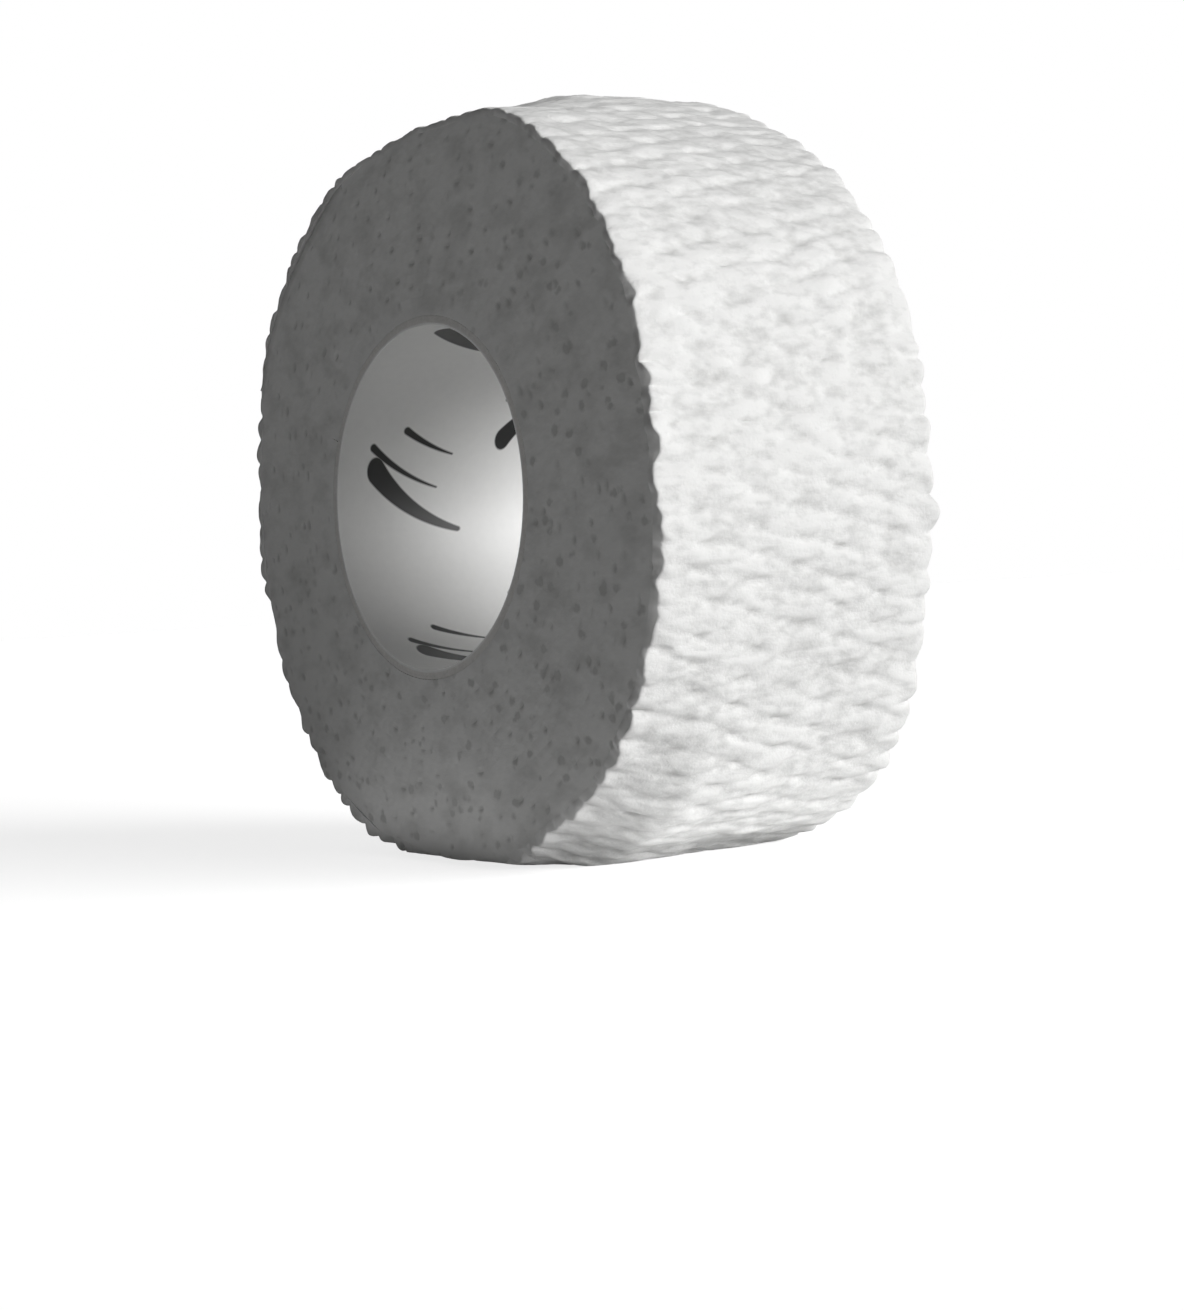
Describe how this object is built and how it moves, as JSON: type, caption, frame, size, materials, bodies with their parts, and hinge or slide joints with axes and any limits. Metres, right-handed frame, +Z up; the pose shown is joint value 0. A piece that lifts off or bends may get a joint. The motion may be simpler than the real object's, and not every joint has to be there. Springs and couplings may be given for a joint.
{
  "type": "grip tape roll",
  "caption": "Roll of white crinkled self-clinging grip tape, wound in a spiral on a short lined paper core, with a free end that peels off the outer turn.",
  "frame": {"origin": "middle of the core's bore, half way across the tape's width", "axes": "+Y along the bore, +Z up with the roll standing on its rim, +X to the right when seen along +Y"},
  "size_m": [0.0632, 0.025, 0.0606],
  "materials": {
    "liner_paper": "satin, white coated paper",
    "core_board": "matte, pale grey board",
    "crepe_tape": "matte, white crinkled gauze with a self-clinging coating"
  },
  "bodies": {
    "roll": {"core_liner": "liner_paper", "core_inner_ply": "core_board", "core_outer_ply": "core_board", "tape_inner_turns": "crepe_tape", "tape_outer_turn": "crepe_tape"},
    "free_end": {"tape_free_end": "crepe_tape"}
  },
  "joints": [
    {"name": "end_peel", "type": "hinge", "parent": "roll", "child": "free_end", "pos_m": [-0.0178, 0, 0.02646], "axis": [0, 1, 0], "range_deg": [0, 110]}
  ]
}
